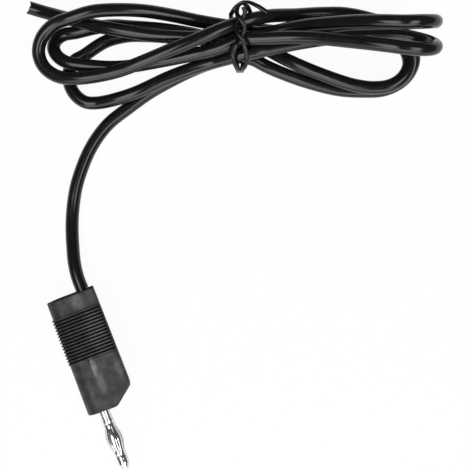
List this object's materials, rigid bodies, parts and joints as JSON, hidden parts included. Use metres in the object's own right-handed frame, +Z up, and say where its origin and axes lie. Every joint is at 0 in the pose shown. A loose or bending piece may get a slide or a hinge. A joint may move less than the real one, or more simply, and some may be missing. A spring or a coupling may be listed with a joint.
{
  "type": "esd earthing lead with stacking banana plug",
  "caption": "Black earthing lead with a ribbed resistor-housing stacking plug on one end, its cord folded into a hank held by a twist tie.",
  "frame": {"origin": "on the resting surface, under the middle of the plug's box (housing and pin, without the cord)", "axes": "+Z up from the surface that the plug lies on, +Y along the plug from its pin towards the end that the cord leaves, +X towards the flat flank on the cord's side"},
  "size_m": [0.1387, 0.1431, 0.0292],
  "materials": {
    "housing_plastic": "dark grey moulded ABS, fine satin texture",
    "pin_nickel": "bright nickel plate on brass",
    "tab_brass": "stamped brass",
    "tinned_wire": "tin plated copper",
    "core_copper": "stranded copper",
    "resistor_lacquer": "lacquered ceramic",
    "shrink_sleeve": "shrunk polyolefin",
    "cord_jacket": "glossy soft PVC",
    "clamp_plastic": "moulded nylon",
    "tie_coat": "satin PVC coat on soft wire"
  },
  "bodies": {
    "plug_and_lead": {"front_shell": "housing_plastic", "rear_shell": "housing_plastic", "contact_pin": "pin_nickel", "pin_nose": "pin_nickel", "socket_sleeve": "pin_nickel", "solder_tab": "tab_brass", "resistor_body": "resistor_lacquer", "resistor_lead_a": "tinned_wire", "resistor_lead_b": "tinned_wire", "crimp_ferrule": "tinned_wire", "shrink_sleeve": "shrink_sleeve", "conductor_stub": "core_copper", "jacket_stub": "cord_jacket", "cord_clamp": "clamp_plastic", "cord_lead": "cord_jacket", "cord_hank": "cord_jacket", "cord_tail": "cord_jacket", "tail_conductor": "core_copper", "twist_tie": "tie_coat"},
    "spring_cage": {"lamella_cage": "pin_nickel"}
  },
  "joints": [
    {"name": "cage_spin", "type": "hinge", "parent": "plug_and_lead", "child": "spring_cage", "pos_m": [-0.00301, -0.018, 0.00505], "axis": [0, 1, 0], "continuous": true}
  ]
}
